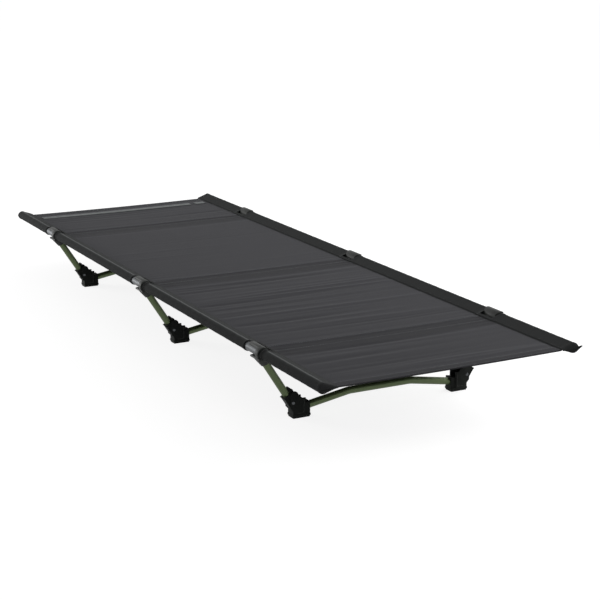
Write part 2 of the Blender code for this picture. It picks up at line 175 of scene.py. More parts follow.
@dataclass(frozen=True)
class Finish:
    """What every finish has, and how far its pattern changes it."""

    name: str
    colour: str
    roughness: float
    bump_mm: float
    shades: tuple[float, float] = (0.8, 1.2)
    rough_swing: tuple[float, float] = (-0.08, 0.08)
    bump_share: float = 0.5
    metallic: float = 0.0
    specular: float = 0.5
    sheen: float = 0.0

    def patterns(self, tree: Tree) -> Patterns:
        """Each finish's own patterns.

        Args:
            tree: the material's tree.

        Returns:
            How much of the colour is left, what swings the roughness if anything does, and the relief.
        """
        raise NotImplementedError

    def shaded(self, tree: Tree, pattern: Node) -> Node:
        """Turn a pattern from 0 to 1 into how much of the colour is left."""
        dark, light = self.shades
        return add_node(tree, "ShaderNodeMapRange", {"Value": pattern, "To Min": dark, "To Max": light})

    def build(self) -> Material:
        """Make the material, with its plain values on the shader's own sockets.

        Returns:
            The material.
        """
        made = bpy.data.materials.new(self.name)
        made.use_nodes = True
        tree = made.node_tree
        shader = tree.nodes["Principled BSDF"]
        plain = {
            "Base Color": linear(self.colour),
            "Roughness": self.roughness,
            "Metallic": self.metallic,
            "Specular IOR Level": self.specular,
            "Sheen Weight": self.sheen,
        }
        for socket, value in plain.items():
            shader.inputs[socket].default_value = value
        shade, rough, relief = self.patterns(tree)
        colour = add_node(
            tree,
            "ShaderNodeMix",
            {"Factor": 1.0, 6: linear(self.colour), 7: shade},
            data_type="RGBA",
            blend_type="MULTIPLY",
        )
        tree.links.new(colour.outputs[2], shader.inputs["Base Color"])
        if rough is not None:
            low, high = (self.roughness + swing for swing in self.rough_swing)
            swung = add_node(tree, "ShaderNodeMapRange", {"Value": rough, "To Min": low, "To Max": high})
            tree.links.new(swung.outputs[0], shader.inputs["Roughness"])
        depth = {"Height": relief, "Distance": self.bump_mm / 1000, "Strength": self.bump_share}
        bump = add_node(tree, "ShaderNodeBump", depth)
        tree.links.new(bump.outputs[0], shader.inputs["Normal"])
        return made


@dataclass(frozen=True)
class WovenCloth(Finish):
    """Plain-woven coated polyester: matt, with a faint sheen where the threads turn."""

    rough_swing: tuple[float, float] = (-0.06, 0.06)
    specular: float = 0.03
    sheen: float = 0.04
    thread_mm: float = 1.8
    weave: float = 0.10
    mottle: float = 0.10
    streak: float = 0.12
    mottle_scale: Point = (9.0, 9.0, 1.0)
    streak_scale: Point = (160.0, 6.0, 1.0)

    def patterns(self, tree: Tree) -> Patterns:
        """Draw the weave, a broad mottle and fine streaks across, on the cloth's flat coordinates.

        Args:
            tree: the material's tree.

        Returns:
            How much of the colour is left, what swings the roughness, if anything, and the relief.
        """
        flat = add_node(tree, "ShaderNodeUVMap", uv_map="cloth")
        # Real threads lie about 0.5 mm apart, finer than a pixel, so they are drawn coarser.
        turns = 2 * pi * 1000 / self.thread_mm
        scales = ((turns, turns, 0.0), self.mottle_scale, self.streak_scale)
        across, *places = (
            add_node(tree, "ShaderNodeVectorMath", {0: flat, 1: scale}, operation="MULTIPLY")
            for scale in scales
        )
        parts = add_node(tree, "ShaderNodeSeparateXYZ", {0: across})
        warp, weft = (
            add_node(tree, "ShaderNodeMath", {0: parts.outputs[way]}, operation="SINE") for way in (0, 1)
        )
        both = add_node(tree, "ShaderNodeMath", {0: warp, 1: weft}, operation="MULTIPLY")
        weave = add_node(tree, "ShaderNodeMapRange", {"Value": both, "From Min": -1.0})
        mottle, streak = (
            add_node(tree, "ShaderNodeTexNoise", {"Vector": place, "Scale": 1.0, "Detail": 3.0})
            for place in places
        )
        shade: Value = 1.0 - self.mottle / 2
        for part, share in ((mottle, self.mottle), (streak, self.streak), (weave, self.weave)):
            terms = {0: part, 1: share, 2: shade}
            shade = add_node(tree, "ShaderNodeMath", terms, operation="MULTIPLY_ADD")
        tint = add_node(tree, "ShaderNodeAttribute", attribute_name="tint").outputs["Fac"]
        shade = add_node(tree, "ShaderNodeMath", {0: shade, 1: tint}, operation="MULTIPLY")
        return shade, mottle, weave


@dataclass(frozen=True)
class DrawnTube(Finish):
    """Drawn and anodised aluminium: satin, with fine lines along the tube."""

    shades: tuple[float, float] = (0.82, 1.12)
    rough_swing: tuple[float, float] = (-0.08, 0.10)
    bump_share: float = 0.3
    metallic: float = 0.85
    grain_mm: float = 0.6
    grain_along: float = 12.0

    def patterns(self, tree: Tree) -> Patterns:
        """Draw the lines that drawing leaves, on the tube's own grain attribute.

        Args:
            tree: the material's tree.

        Returns:
            How much of the colour is left, what swings the roughness, if anything, and the relief.
        """
        grain = add_node(tree, "ShaderNodeAttribute", attribute_name="grain").outputs["Vector"]
        scale = (self.grain_along, 1000 / self.grain_mm, 1000 / self.grain_mm)
        place = add_node(tree, "ShaderNodeVectorMath", {0: grain, 1: scale}, operation="MULTIPLY")
        lines = add_node(tree, "ShaderNodeTexNoise", {"Vector": place, "Scale": 1.0, "Detail": 2.0})
        return self.shaded(tree, lines), lines, lines


@dataclass(frozen=True)
class Moulding(Finish):
    """Glass-filled nylon or rubber from a spark-textured mould: dark, matt and finely pebbled."""

    shades: tuple[float, float] = (0.75, 1.35)
    bump_share: float = 0.6
    grain_mm: float = 0.9
    scuff_scale: float = 60.0

    def patterns(self, tree: Tree) -> Patterns:
        """Draw the mould's pebble, and broader scuffs.

        Args:
            tree: the material's tree.

        Returns:
            How much of the colour is left, what swings the roughness, if anything, and the relief.
        """
        place = add_node(tree, "ShaderNodeTexCoord").outputs["Object"]
        fine = {"Vector": place, "Scale": 1000 / self.grain_mm, "Detail": 2.0}
        pebble = add_node(tree, "ShaderNodeTexNoise", fine)
        broad = {"Vector": place, "Scale": self.scuff_scale, "Detail": 4.0}
        scuff = add_node(tree, "ShaderNodeTexNoise", broad)
        return self.shaded(tree, scuff), scuff, pebble


@dataclass(frozen=True)
class BrightSteel(Finish):
    """Zinc-plated steel rivet: bright, with a turned face."""

    shades: tuple[float, float] = (0.85, 1.1)
    bump_share: float = 0.3
    metallic: float = 1.0
    mark_scale: float = 900.0

    def patterns(self, tree: Tree) -> Patterns:
        """Draw fine turning marks, about 1 mm apart.

        Args:
            tree: the material's tree.

        Returns:
            How much of the colour is left, what swings the roughness, if anything, and the relief.
        """
        place = add_node(tree, "ShaderNodeTexCoord").outputs["Object"]
        fine = {"Vector": place, "Scale": self.mark_scale, "Detail": 2.0}
        marks = add_node(tree, "ShaderNodeTexNoise", fine)
        return self.shaded(tree, marks), None, marks


@dataclass(frozen=True)
class Thread(Finish):
    """Twisted or braided polyester: soft, with slanting strands."""

    shades: tuple[float, float] = (0.7, 1.2)
    twist_scale: float = 400.0

    def patterns(self, tree: Tree) -> Patterns:
        """Draw the strands' twist.

        Args:
            tree: the material's tree.

        Returns:
            How much of the colour is left, what swings the roughness, if anything, and the relief.
        """
        place = add_node(tree, "ShaderNodeTexCoord").outputs["Object"]
        wave = {"Vector": place, "Scale": self.twist_scale, "Distortion": 2.0}
        twist = add_node(tree, "ShaderNodeTexWave", wave, bands_direction="DIAGONAL")
        return self.shaded(tree, twist), None, twist


class Cover(Enum):
    """Every finish of the cot, by the piece that wears it."""

    # A thin coating over a close weave leaves the deck dark grey, slightly blue and quite matt.
    DECK = WovenCloth("coated_polyester_plain_weave", "#3B3B3E", 0.75, 0.10)
    # The sleeves' heavier yarn shows more of its weave, and looks darker and flatter.
    SLEEVE = WovenCloth("coated_polyester_heavy_weave", "#2E2F2F", 0.80, 0.22, thread_mm=2.6, sheen=0.02)
    # Uncoated webbing is the lightest cloth here, coarse and soft in the light.
    STRAP = WovenCloth("polyester_webbing_woven", "#6F7272", 0.80, 0.30, thread_mm=2.4, sheen=0.05)
    # Anodising over drawn metal turns a mirror into a soft silver band along the pole.
    POLE = DrawnTube("aluminium_drawn_silver_anodised", "#5E6062", 0.55, 0.02)
    # The dye in the anodised layer hides half of the metal: a muted olive with a satin highlight.
    LEG = DrawnTube("aluminium_drawn_olive_anodised", "#5B6A46", 0.42, 0.02, metallic=0.45)
    # Glass fibres at the surface break up the gloss, so the feet stay near black from any side.
    MOULDING = Moulding("nylon_glass_filled_moulded", "#2B2D2B", 0.70, 0.05, specular=0.08)
    # Handling polishes the clips, which catch a little more light on their upper faces.
    CLIP = Moulding("nylon_glass_filled_moulded_worn", "#222422", 0.55, 0.05, specular=0.28)
    # Rubber takes the light without any gloss and shows a coarser grain.
    RUBBER = Moulding("rubber_moulded_sole", "#111211", 0.85, 0.10, grain_mm=1.4, specular=0.3)
    # Zinc plating makes each rivet a small bright dot on the dark foot.
    STEEL = BrightSteel("steel_zinc_plated_rivet", "#505254", 0.35, 0.01)
    # Bonded thread stands just proud of the deck and shows as faint lighter rows.
    THREAD = Thread("polyester_thread_bonded_grey", "#646669", 0.6, 0.05)
    # On the sleeves the same thread is dyed to match, so the rows only just show.
    DARK_THREAD = Thread("polyester_thread_bonded_black", "#303131", 0.7, 0.05)
    # A braid over rubber looks pale and woolly where the pole's end lets it be seen.
    ELASTIC = Thread("elastic_cord_braided", "#C9C9C2", 0.8, 0.10)


Finishes = Mapping[Cover, Material]


# Shared mesh work


def add_object(name: str, data: bpy.types.ID) -> Object:
    """Make an object at the origin and put it in the scene.

    Args:
        name: its name.
        data: its mesh, camera or light.

    Returns:
        The object.
    """
    made = bpy.data.objects.new(name, data)
    bpy.context.scene.collection.objects.link(made)
    return made


def fix_normals(mesh: bpy.types.Mesh) -> None:
    """Turn all of a closed mesh's faces outwards.

    Args:
        mesh: the mesh.
    """
    bm = bmesh.new()
    bm.from_mesh(mesh)
    bmesh.ops.recalc_face_normals(bm, faces=bm.faces)
    bm.to_mesh(mesh)
    bm.free()


def cloth_object(name: str, sheets: Iterable[Sheet], material: Material, sharp: float = SHARP) -> Object:
    """Close upper and under surfaces into thin sheets, all in one mesh.

    Args:
        name: the object's name.
        sheets: for each, grids of its upper vertices, its under vertices, its flat coordinates in
            metres and how light it is.
        material: the cloth.
        sharp: the angle from which an edge stays sharp.

    Returns:
        The smooth-shaded object, its faces outwards.
    """
    points, faces, flats, tints = [], [], [], []
    first = 0
    for top, under, flat, tint in sheets:
        count = tint.size
        grid = np.arange(first, first + count).reshape(tint.shape)
        quads = np.stack([grid[:-1, :-1], grid[:-1, 1:], grid[1:, 1:], grid[1:, :-1]], axis=-1)
        quads = quads.reshape(-1, 4)
        rim = np.concatenate([grid[0], grid[1:, -1], grid[-1, -2::-1], grid[-2:0:-1, 0]])
        ahead = np.roll(rim, -1)
        walls = np.stack([ahead, rim, rim + count, ahead + count], axis=-1)
        faces += [quads, quads[:, ::-1] + count, walls]
        points += [top.reshape(-1, 3), under.reshape(-1, 3)]
        flats += [flat.reshape(-1, 2)] * 2
        tints += [tint.ravel()] * 2
        first += 2 * count
    mesh = bpy.data.meshes.new(name)
    mesh.from_pydata(np.concatenate(points).tolist(), [], np.concatenate(faces).tolist())
    corners = np.empty(len(mesh.loops), dtype=np.int64)
    mesh.loops.foreach_get("vertex_index", corners)
    layer = mesh.uv_layers.new(name="cloth")
    layer.data.foreach_set("uv", np.concatenate(flats)[corners].astype(np.float32).ravel())
    mark = mesh.attributes.new("tint", "FLOAT", "POINT")
    mark.data.foreach_set("value", np.concatenate(tints).astype(np.float32))
    mesh.shade_smooth()
    mesh.set_sharp_from_angle(angle=sharp)
    fix_normals(mesh)
    mesh.materials.append(material)
    return add_object(name, mesh)


def flat_sheet(
    x: np.ndarray, y: np.ndarray, top: np.ndarray, under: np.ndarray, tint: np.ndarray | float
) -> Sheet:
    """A sheet that lies level, so that X and Y are its flat coordinates.

    Args:
        x: a grid of places along the cot.
        y: a grid of places across it.
        top: the upper face's height.
        under: the under face's height.
        tint: how light it is.

    Returns:
        The sheet's grids.
    """
    upper, lower = (np.stack([x, y, z + 0.0 * x], axis=-1) for z in (top, under))
    return upper, lower, upper[..., :2], tint + 0.0 * x


def softened(path: Line, rounds: int) -> list[Point]:
    """Cut a line's corners a quarter of the way along each run, so that its bends turn smoothly.

    Args:
        path: the line's points.
        rounds: how often the corners are cut.

    Returns:
        The softer line, with the same ends.
    """
    line = [Vector(p) for p in path]
    for _ in range(rounds):
        cut = [line[0]]
        for here, there in zip(line, line[1:]):
            cut += [here.lerp(there, 0.25), here.lerp(there, 0.75)]
        line = [*cut, line[-1]]
    return [tuple(p) for p in line]


def hand_over(piece: Object, body: str | None = None, node: str | None = None) -> None:
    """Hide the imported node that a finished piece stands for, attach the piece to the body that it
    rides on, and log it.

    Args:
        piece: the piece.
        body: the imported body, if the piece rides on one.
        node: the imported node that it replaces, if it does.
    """
    if node:
        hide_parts(node)
    if body:
        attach(piece, body)
    LOG.info("%s: %d faces, %s", piece.name, len(piece.data.polygons), body or "bends")


# Node trees for what repeats or follows a line


@dataclass
class LineWork:
    """Geometry that a node tree makes along lines."""

    def start(
        self, name: str, inputs: Mapping[str, str]
    ) -> tuple[Tree, bpy.types.NodeOutputs, Node]:
        """Start the tree.

        Args:
            name: the tree's name.
            inputs: the kind of each named input.

        Returns:
            The tree, what it is given, and its lines as curves.
        """
        tree = bpy.data.node_groups.new(name, "GeometryNodeTree")
        face = tree.interface
        for socket, kind in {"Geometry": "Geometry", **inputs, "Material": "Material"}.items():
            face.new_socket(socket, in_out="INPUT", socket_type=f"NodeSocket{kind}")
        face.new_socket("Geometry", in_out="OUTPUT", socket_type="NodeSocketGeometry")
        given = add_node(tree, "NodeGroupInput").outputs
        self.tree = tree
        return tree, given, add_node(tree, "GeometryNodeMeshToCurve", {0: given["Geometry"]})

    def end(self, given: bpy.types.NodeOutputs, shape: Node) -> None:
        """End the tree: everything real, smooth and in its material.

        Args:
            given: what the tree is given.
            shape: the node whose geometry it makes.
        """
        real = add_node(self.tree, "GeometryNodeRealizeInstances", {0: shape})
        smooth = add_node(self.tree, "GeometryNodeSetShadeSmooth", {0: real})
        finish = {"Geometry": smooth, "Material": given["Material"]}
        dressed = add_node(self.tree, "GeometryNodeSetMaterial", finish)
        add_node(self.tree, "NodeGroupOutput", {0: dressed})

    def make(self, name: str, lines: Iterable[Line], values: Mapping[str, Value]) -> Object:
        """Run the tree along lines and keep the result as a plain mesh.

        Args:
            name: the result's name.
            lines: the points of each line.
            values: the tree's inputs by name.

        Returns:
            The plain mesh object, at the origin.
        """
        points: list[Point] = []
        edges: list[tuple[int, int]] = []
        for line in lines:
            first = len(points)
            points += [tuple(p) for p in line]
            edges += [(i, i + 1) for i in range(first, len(points) - 1)]
        mesh = bpy.data.meshes.new(name)
        mesh.from_pydata(points, edges, [])
        source = add_object(name, mesh)
        modifier = source.modifiers.new("made", "NODES")
        modifier.node_group = self.tree
        for item in self.tree.interface.items_tree:
            if item.item_type == "SOCKET" and item.in_out == "INPUT" and item.name in values:
                modifier[item.identifier] = values[item.name]
        graph = bpy.context.evaluated_depsgraph_get()
        result = bpy.data.meshes.new_from_object(source.evaluated_get(graph))
        source.modifiers.remove(modifier)
        bpy.data.objects.remove(source)
        result.name = name
        return add_object(name, result)


@dataclass
class StitchRows(LineWork):
    """Lines of sewing, each stitch a small raised thread."""

    pitch: float = 0.0042
    length: float = 0.0031
    thickness: float = 0.0007

    def __post_init__(self) -> None:
        """Build the tree once."""
        inputs = {"Pitch": "Float", "Length": "Float", "Thickness": "Float"}
        tree, given, curve = self.start("stitch_rows", inputs)
        spaced = {"Curve": curve, "Length": given["Pitch"]}
        points = add_node(tree, "GeometryNodeResampleCurve", spaced, mode="LENGTH")
        ball = add_node(tree, "GeometryNodeMeshUVSphere", {"Segments": 6, "Rings": 4, "Radius": 0.5})
        sizes = {0: given["Length"], 1: given["Thickness"], 2: given["Thickness"]}
        size = add_node(tree, "ShaderNodeCombineXYZ", sizes)
        stitch = add_node(tree, "GeometryNodeTransform", {"Geometry": ball, "Scale": size})
        along = add_node(tree, "GeometryNodeInputTangent")
        turn = add_node(tree, "FunctionNodeAlignRotationToVector", {"Vector": along}, axis="X")
        placed = {"Points": points, "Instance": stitch, "Rotation": turn}
        self.end(given, add_node(tree, "GeometryNodeInstanceOnPoints", placed))

    def sew(self, name: str, lines: Iterable[Line], material: Material) -> Object:
        """Sew along lines, all the stitches in one mesh."""
        sizes = {"Pitch": self.pitch, "Length": self.length, "Thickness": self.thickness}
        return self.make(name, lines, {**sizes, "Material": material})


@dataclass
class TubeRun(LineWork):
    """Round tubes drawn along lines, with a grain that runs with them."""

    sides: int = 40
    sharp: float = radians(50)

    def __post_init__(self) -> None:
        """Build the tree once."""
        tree, given, curve = self.start("drawn_tube", {"Radius": "Float", "Sides": "Int"})
        along = add_node(tree, "GeometryNodeSplineParameter").outputs["Length"]
        run = add_node(tree, "GeometryNodeCaptureAttribute", {0: curve})
        run.capture_items.new("FLOAT", "run")
        tree.links.new(along, run.inputs[1])
        sizes = {"Resolution": given["Sides"], "Radius": given["Radius"]}
        circle = add_node(tree, "GeometryNodeCurvePrimitiveCircle", sizes)
        place = add_node(tree, "GeometryNodeInputPosition")
        rim = add_node(tree, "GeometryNodeCaptureAttribute", {0: circle})
        rim.capture_items.new("VECTOR", "rim")
        tree.links.new(place.outputs[0], rim.inputs[1])
        swept = {"Curve": run, "Profile Curve": rim, "Fill Caps": True}
        skin = add_node(tree, "GeometryNodeCurveToMesh", swept)
        parts = add_node(tree, "ShaderNodeSeparateXYZ", {0: rim.outputs[1]}).outputs
        grain = add_node(tree, "ShaderNodeCombineXYZ", {0: run.outputs[1], 1: parts[0], 2: parts[1]})
        marked = add_node(
            tree,
            "GeometryNodeStoreNamedAttribute",
            {"Geometry": skin, "Name": "grain", "Value": grain},
            data_type="FLOAT_VECTOR",
            domain="POINT",
        )
        self.end(given, marked)

    def draw(
        self, name: str, paths: Iterable[Line], radius: float, material: Material
    ) -> Object:
        """Draw tubes.

        Args:
            name: the name of them all.
            paths: the points of each one's axis.
            radius: their outer radius.
            material: their finish.

        Returns:
            The tubes as one mesh, each closed.
        """
        values = {"Radius": radius, "Sides": self.sides, "Material": material}
        made = self.make(name, paths, values)
        fix_normals(made.data)
        made.data.shade_smooth()
        made.data.set_sharp_from_angle(angle=self.sharp)
        return made


# The cot's places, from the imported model


def middle(node: str) -> Vector:
    """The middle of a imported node's box."""
    low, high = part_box(node)
    return (low + high) / 2


def vertices(node: str) -> np.ndarray:
    """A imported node's vertices, one row of X, Y and Z each."""
    return np.array([vertex.co for vertex in bpy.data.objects[node].data.vertices])


@dataclass(frozen=True)
class Plan:
    """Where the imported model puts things."""

    pole_y: float
    pole_z: float
    pole_radius: float
    pin_y: float
    pin_z: float
    leg_x: Mapping[Leg, float]

    @classmethod
    def read(cls) -> Plan:
        """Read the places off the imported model.

        Returns:
            The plan.
        """
        pole, pin = middle("pole_far_2"), middle("hinge_pin_mid_far")
        low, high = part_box("pole_far_2")
        legs = {leg: middle(f"hinge_pin_{leg.value}_far").x for leg in Leg}
        return cls(pole.y, pole.z, (high.z - low.z) / 2, pin.y, pin.z, legs)


@dataclass
class Deck:
    """The taut cloth deck, in two halves that meet on the middle line."""

    plan: Plan
    finishes: Finishes
    stitches: StitchRows
    cell_x: float = 0.005
    cell_y: float = 0.006
    lap: float = 0.0012
    thick: float = 0.0014
    sag: float = 0.0016
    sewn_flat: float = 0.010
    hang_free: float = 0.035
    # Cross bands: a seam at the headward edge of each, with the cloth lower behind it, a painted shade
    # over that dip and painted highlights beside it.
    seam_back: tuple[float, ...] = (0.004, 0.008, 0.014)
    band_half: float = 0.016
    seam_fall: float = 0.0022
    dip: float = 0.0014
    dip_length: float = 0.070
    dip_end_fall: float = 0.004
    ridge: float = 0.0007
    ridge_half: float = 0.006
    tail_ridge: float = 0.084
    seam_painted_shade: float = 0.36
    ridge_painted_highlight: float = 0.16
    # Small waves at each clip, where the sleeve pulls on the deck.
    pull: float = 0.0010
    pull_fade: float = 0.045
    pull_half: float = 0.07
    pull_pitch: float = 0.022
    # Hems at both ends: raised, with a groove, a painted highlight just inboard of it, and darker over
    # the hem.
    hem: float = 0.027
    hem_rise: float = 0.0007
    hem_fall: float = 0.0012
    hem_thick: float = 0.0009
    groove: float = 0.0007
    groove_half: float = 0.003
    lip: float = 0.0008
    lip_half: float = 0.002
    hem_dark: float = 0.22
    hem_dark_fall: float = 0.0022
    hem_painted_highlight: float = 0.15
    hem_light_place: float = 0.004
    hem_light_half: float = 0.006
    # Rows of sewing, from the edge that each one follows.
    hem_row: float = 0.002
    lip_row: float = 0.004
    band_row: float = 0.003
    row_ends: tuple[float, float] = (0.002, 0.004)
    row_points: int = 40
    row_rise: float = 0.0001
    # Creases: for each panel, its margins at the head and the tail, how many, and how high.
    crease_panels: tuple[tuple[float, float, int, float], ...] = (
        (0.030, 0.035, 7, 0.0010),
        (0.060, 0.060, 9, 0.0004),
        (0.055, 0.035, 22, 0.0017),
        (0.055, 0.030, 9, 0.0018),
    )
    crease_sizes: tuple[float, float] = (0.35, 1.3)
    # In turn: half width, slant, wave, its phase, where across the cot it is highest, and its reach.
    crease_ranges: tuple[tuple[float, float], ...] = (
        (0.005, 0.010),
        (-0.025, 0.025),
        (0.001, 0.004),
        (0, 2 * pi),
        (-0.25, 0.25),
        (0.10, 0.40),
    )
    crease_waves: float = 9
    crease_lean: float = 0.5
    # Painted shading of the creases: lighter on their ridges, darker in their hollows.
    crease_painted_shading: float = 60.0
    seed: int = 11

    def __post_init__(self) -> None:
        """Take the deck's box and lay out its seams and creases."""
        self.low, self.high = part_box("deck_panel")
        legs = self.plan.leg_x
        self.seam_x = {leg: legs[leg] - back for leg, back in zip(Leg, self.seam_back)}
        chance = np.random.default_rng(self.seed)
        marks = [self.low.x, *legs.values(), self.high.x]
        self.creases = []
        for before, after, panel in zip(marks, marks[1:], self.crease_panels):
            head_margin, tail_margin, count, height = panel
            start, end = before + head_margin, after - tail_margin
            for number in range(count):
                centre = start + (end - start) * (number + chance.uniform(0, 1)) / count
                size = height * chance.uniform(*self.crease_sizes) * chance.choice((1, -1))
                self.creases.append((centre, size, *(chance.uniform(*r) for r in self.crease_ranges)))

    def creased(self, x: np.ndarray, y: np.ndarray) -> np.ndarray:
        """Make the tension creases, long low waves that run across the cot and fade out.

        Args:
            x: places along the cot.
            y: places across it.

        Returns:
            Their height at each place.
        """
        height = np.zeros_like(x, dtype=float)
        for centre, size, width, slant, wave, phase, peak, reach in self.creases:
            line = centre + slant * y + wave * np.sin(self.crease_waves * y + phase)
            past = (x - line) / width
            height += size * bell(y - peak, reach) * (1 - self.crease_lean * past) * bell(past, 1)
        return height

    def relief(self, x: np.ndarray, y: np.ndarray) -> np.ndarray:
        """How far the cloth stands off its flat place.

        Args:
            x: places along the cot.
            y: places across it.

        Returns:
            The height at each place.
        """
        inside = self.high.y - np.abs(y)
        height = self.creased(x, y)
        for leg in Leg:
            past = x - self.seam_x[leg]
            fade = np.exp(-np.maximum(past, 0) / self.dip_length)
            height -= self.dip * ramp(past, self.seam_fall) * fade
            height += self.ridge * bell(past + self.ridge_half, self.ridge_half)
            offset = np.abs(x - self.plan.leg_x[leg])
            pull = self.pull * np.exp(-inside / self.pull_fade) * bell(offset, self.pull_half)
            height += pull * np.cos(2 * pi * offset / self.pull_pitch)
        # Sewn to the sleeves, the cloth lies flat along its edges.
        height *= 1 - np.exp(-np.maximum(inside, 0) / self.sewn_flat)
        height -= self.sag * (1 - np.minimum(1, np.abs(y) / self.high.y) ** 2)
        for edge in (self.low.x, self.high.x):
            offset = np.abs(x - edge)
            height += self.hem_rise * ramp(self.hem - offset, self.hem_fall)
            height -= self.groove * bell(offset - self.hem, self.groove_half)
            height -= self.lip * bell(offset, self.lip_half)
        return height

    def shade(self, x: np.ndarray, y: np.ndarray) -> np.ndarray:
        """How light the cloth is, with its painted shading, shade and highlights.

        Args:
            x: places along the cot.
            y: places across it.

        Returns:
            The tint at each place, 1 being plain.
        """
        # Painted shading of the creases, from their height.
        light = 1 + self.crease_painted_shading * self.creased(x, y)
        for leg in Leg:
            past = x - self.seam_x[leg]
            end = ramp(self.dip_length - past, self.dip_end_fall)
            # Painted shade over the dip behind each seam.
            light -= self.seam_painted_shade * ramp(past, self.seam_fall) * end
            # Painted highlights on the ridge before each seam and just past the dip's end.
            for place in (-self.ridge_half, self.tail_ridge):
                light += self.ridge_painted_highlight * bell(past - place, self.ridge_half)
        for edge, inward in ((self.low.x, 1), (self.high.x, -1)):
            past = inward * (x - edge) - self.hem
            # Painted highlight just inboard of each hem's groove; the hem itself is darker.
            light += self.hem_painted_highlight * bell(past - self.hem_light_place, self.hem_light_half)
            light -= self.hem_dark * ramp(-past, self.hem_dark_fall)
        return light

    def half(self, side: Side) -> Object:
        """Make one half of the deck.

        Args:
            side: which half.

        Returns:
            The closed half sheet.
        """
        reach = self.high.y + self.lap
        columns = round((self.high.x - self.low.x) / self.cell_x) + 1
        rows = round(reach / self.cell_y) + 1
        xs = np.linspace(self.low.x, self.high.x, columns)
        x, y = np.meshgrid(xs, side.sign * np.linspace(0, reach, rows))
        top = self.high.z + self.relief(x, y)
        hems = np.minimum(x - self.low.x, self.high.x - x) < self.hem
        sheet = flat_sheet(x, y, top, top - self.thick - self.hem_thick * hems, self.shade(x, y))
        return cloth_object(f"deck_cloth_{side.value}", [sheet], self.finishes[Cover.DECK])

    def seams(self, side: Side) -> Object:
        """Sew the cross bands and the hems of one half.

        Args:
            side: which half.

        Returns:
            The stitches.
        """
        start, end = self.row_ends
        places = []
        for edge, inward in ((self.low.x, 1), (self.high.x, -1)):
            places += [edge + inward * (self.hem - self.hem_row), edge + inward * self.lip_row]
        for leg in Leg:
            places += [self.seam_x[leg] - self.band_row, self.plan.leg_x[leg] + self.band_half]
        lines = []
        for place in places:
            y = side.sign * np.linspace(start, self.high.y - end, self.row_points)
            x = np.full_like(y, place)
            lines.append(np.stack([x, y, self.high.z + self.relief(x, y) + self.row_rise], axis=-1))
        return self.stitches.sew(f"deck_seams_{side.value}", lines, self.finishes[Cover.THREAD])

    def fasten(self, piece: Object, side: Side) -> None:
        """Bake a piece's placement into its mesh."""
        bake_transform(piece)

    def build(self) -> None:
        """Make and sew both halves, and put them in place of the imported deck."""
        for side in Side:
            cloth, seams = self.half(side), self.seams(side)
            hand_over(cloth, node="deck_panel")
            hand_over(seams)
            self.fasten(cloth, side)
            self.fasten(seams, side)


@dataclass
class HeadStrap:
    """Flat webbing sewn across the head end of the deck."""

    deck: Deck
    finishes: Finishes
    rise: float = 0.0003
    cell: float = 0.0025
    fewest_rows: int = 4
    body_share: float = 0.75
    crown: float = 0.0003
    crown_share: float = 6
    border: float = 0.0022
    border_painted_shadow: float = 0.25
    rib_light: float = 0.06
    rib_pitch: float = 0.006

    def strip(self, name: str, node: str, start: float, end: float) -> Object:
        """Make one flat length of webbing that follows the cloth.

        Args:
            name: its name.
            node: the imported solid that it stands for.
            start: where it starts across the cot.
            end: where it ends.

        Returns:
            The closed strip.
        """
        low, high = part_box(node)
        columns = round((high.x - low.x) / self.cell) + 1
        rows = max(self.fewest_rows, round(abs(end - start) / (2 * self.cell)))
        x, y = np.meshgrid(np.linspace(low.x, high.x, columns), np.linspace(start, end, rows))
        centre, half = (low.x + high.x) / 2, (high.x - low.x) / 2
        edge = 1 - np.abs(x - centre) / half
        under = self.deck.high.z + self.deck.relief(np.full_like(x, centre), y) + self.rise
        bulge = self.crown * np.minimum(1, edge * self.crown_share)
        top = under + (high.z - low.z) * self.body_share + bulge
        ribs = self.rib_light * np.sin(2 * pi * y / self.rib_pitch)
        # Painted shadow along both edges, and the weave's ribs.
        tint = 1 - self.border_painted_shadow * (edge * half < self.border) + ribs
        return cloth_object(name, [flat_sheet(x, y, top, under, tint)], self.finishes[Cover.STRAP])

    def build(self) -> None:
        """Make the webbing in lengths that each lie on one half of the deck."""
        long, short = "head_webbing_long", "head_webbing_short"
        (long_low, long_high), (short_low, short_high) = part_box(long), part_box(short)
        lengths = (
            ("head_strap_near", long, long_low.y, 0.0, Side.NEAR),
            ("head_strap_far", long, 0.0, long_high.y, Side.FAR),
            ("head_strap_tail", short, short_low.y, short_high.y, Side.FAR),
        )
        for name, node, start, end, side in lengths:
            made = self.strip(name, node, start, end)
            hand_over(made, node=node)
            self.deck.fasten(made, side)


@dataclass(frozen=True)
class SleeveSide:
    """What differs between the two sleeves: their painted light, shade and highlights, and how far they
    cover the windows.
    """

    crest_painted_highlight: float
    cloth_painted_light: float
    end_painted_shade: float = 0.0
    mouth_painted_shade: float = 0.0
    hem_painted_highlight: float = 0.0
    tail_tuck: float = 0.0
    head_tuck: float = 0.0


# Near: a strong painted crest highlight, painted light all over, painted shade at the foot end and
# window mouths. Far: a faint crest highlight and painted highlights on the hem edges.
SLEEVE_SIDES = {
    Side.NEAR: SleeveSide(2.9, 1.2, end_painted_shade=0.18, mouth_painted_shade=0.45),
    Side.FAR: SleeveSide(0.2, 1.0, hem_painted_highlight=1.3, tail_tuck=0.0035, head_tuck=0.0100),
}


